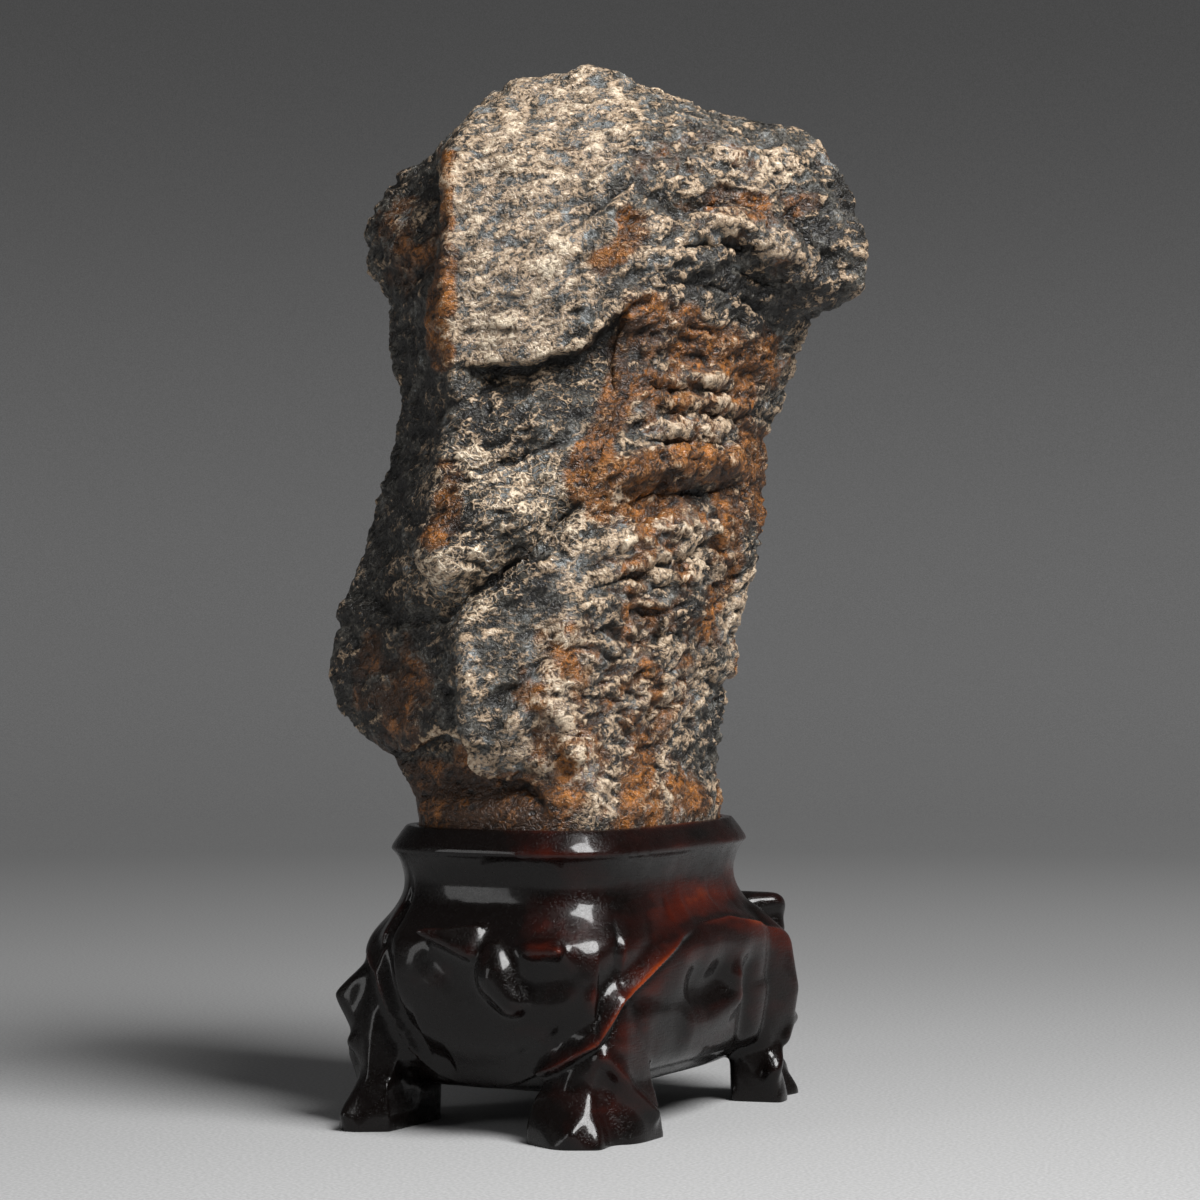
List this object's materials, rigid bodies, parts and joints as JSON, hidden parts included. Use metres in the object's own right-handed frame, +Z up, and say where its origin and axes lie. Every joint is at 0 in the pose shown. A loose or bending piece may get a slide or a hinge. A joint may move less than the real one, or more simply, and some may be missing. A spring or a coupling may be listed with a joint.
{
  "type": "scholars rock on a carved stand",
  "caption": "Rugged scholars rock with folded, ledged faces, seated in the socket of a carved hardwood stand on splayed feet.",
  "frame": {"origin": "on the ground plane, under the middle of the whole part's bounding box", "axes": "+Z up; Y along the stand's long sides; -Y is the end whose carved leaf and horns face the viewer"},
  "size_m": [0.074, 0.073, 0.1649],
  "materials": {
    "stone": "naturally weathered, pitted, lightly waxed",
    "hardwood": "dark reddish brown hardwood, oiled and polished"
  },
  "bodies": {
    "root": {"stone": "stone", "stand": "hardwood"}
  },
  "joints": []
}
